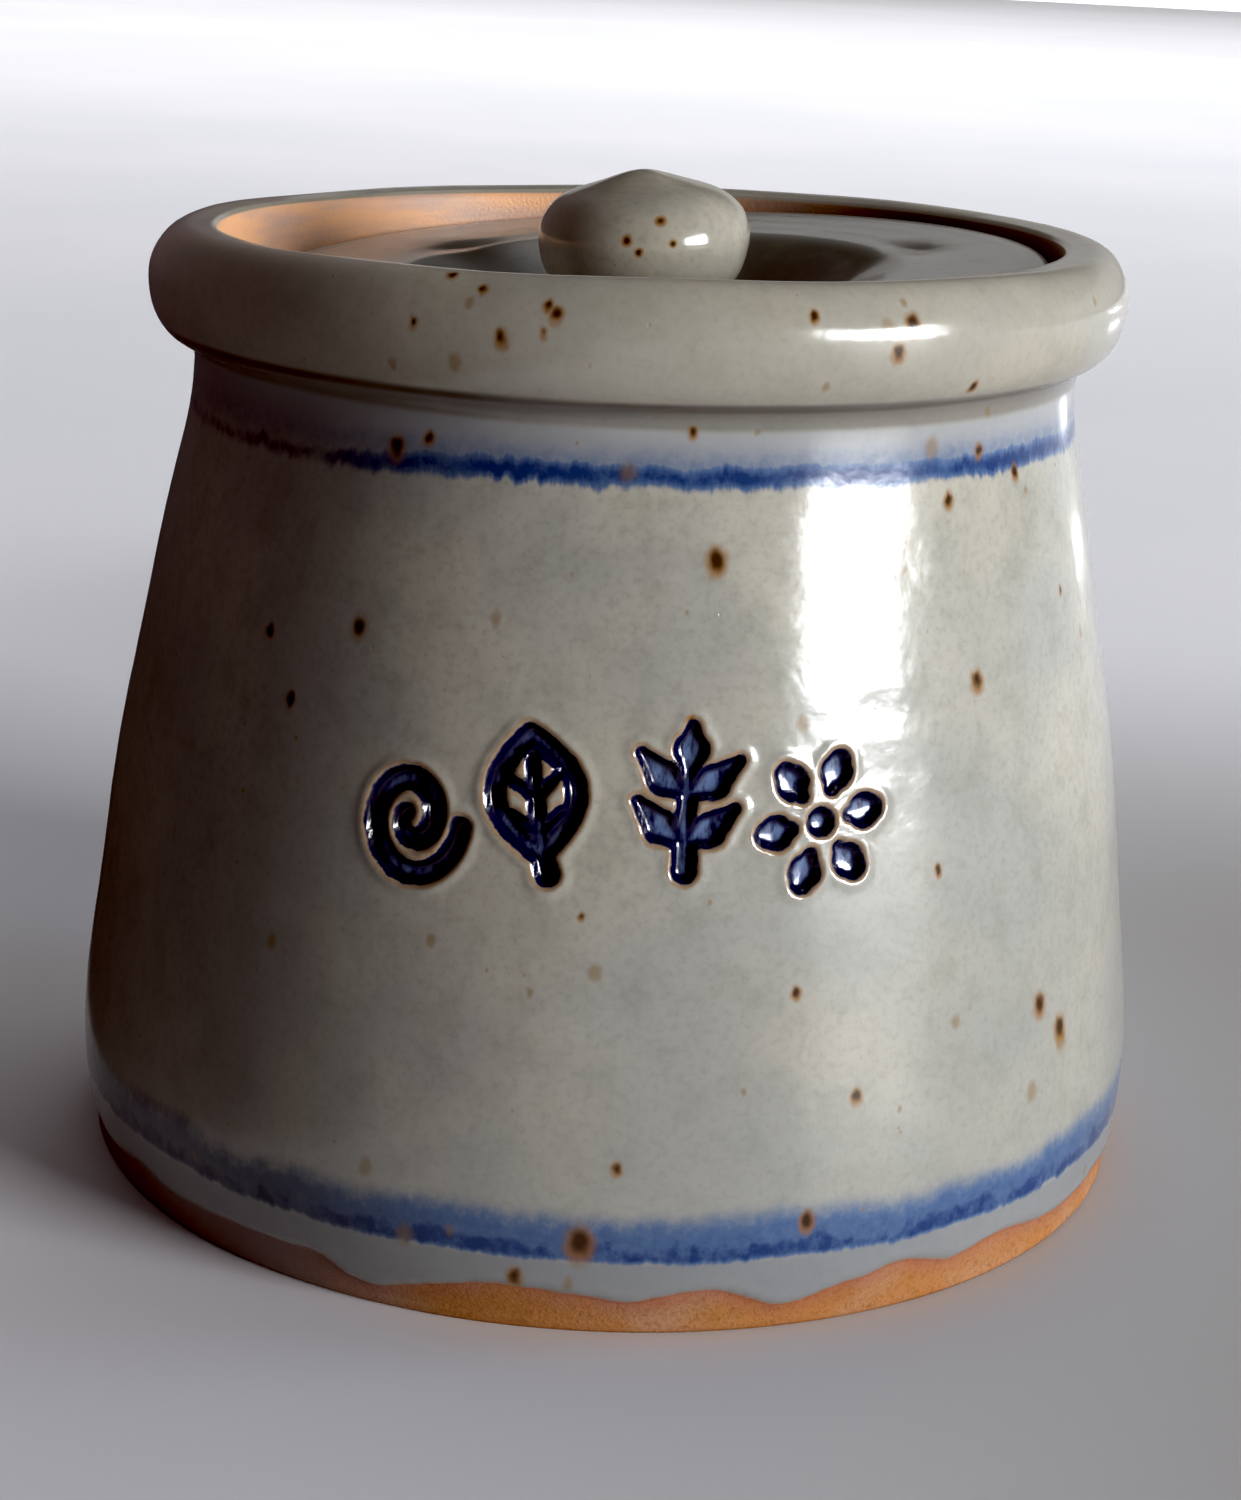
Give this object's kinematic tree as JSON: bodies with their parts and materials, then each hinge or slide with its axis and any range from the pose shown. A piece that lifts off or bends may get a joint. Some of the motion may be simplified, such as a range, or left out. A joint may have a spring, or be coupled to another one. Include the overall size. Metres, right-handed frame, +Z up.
{
  "type": "salt pig",
  "caption": "Lidded stoneware salt jar: a wide-footed pot with a rolled rim, and a sunken, dished lid that lifts out of the rim by its round knob.",
  "frame": {"origin": "centre of the foot, on the surface that the pot stands on", "axes": "+Z up the pot's axis; +X to the right as the picture sees it, and -Y towards the viewer"},
  "size_m": [0.127, 0.127, 0.115],
  "materials": {
    "glazed_stoneware": "glossy grey glaze with two blue bands, iron specks and a bare clay foot and gallery"
  },
  "bodies": {
    "pot": {"pot": "glazed_stoneware"},
    "lid": {"lid": "glazed_stoneware", "knob": "glazed_stoneware"}
  },
  "joints": [
    {"name": "lid_lift", "type": "slide", "parent": "pot", "child": "lid", "axis": [0, 0, 1], "range_m": [0, 0.04]}
  ]
}
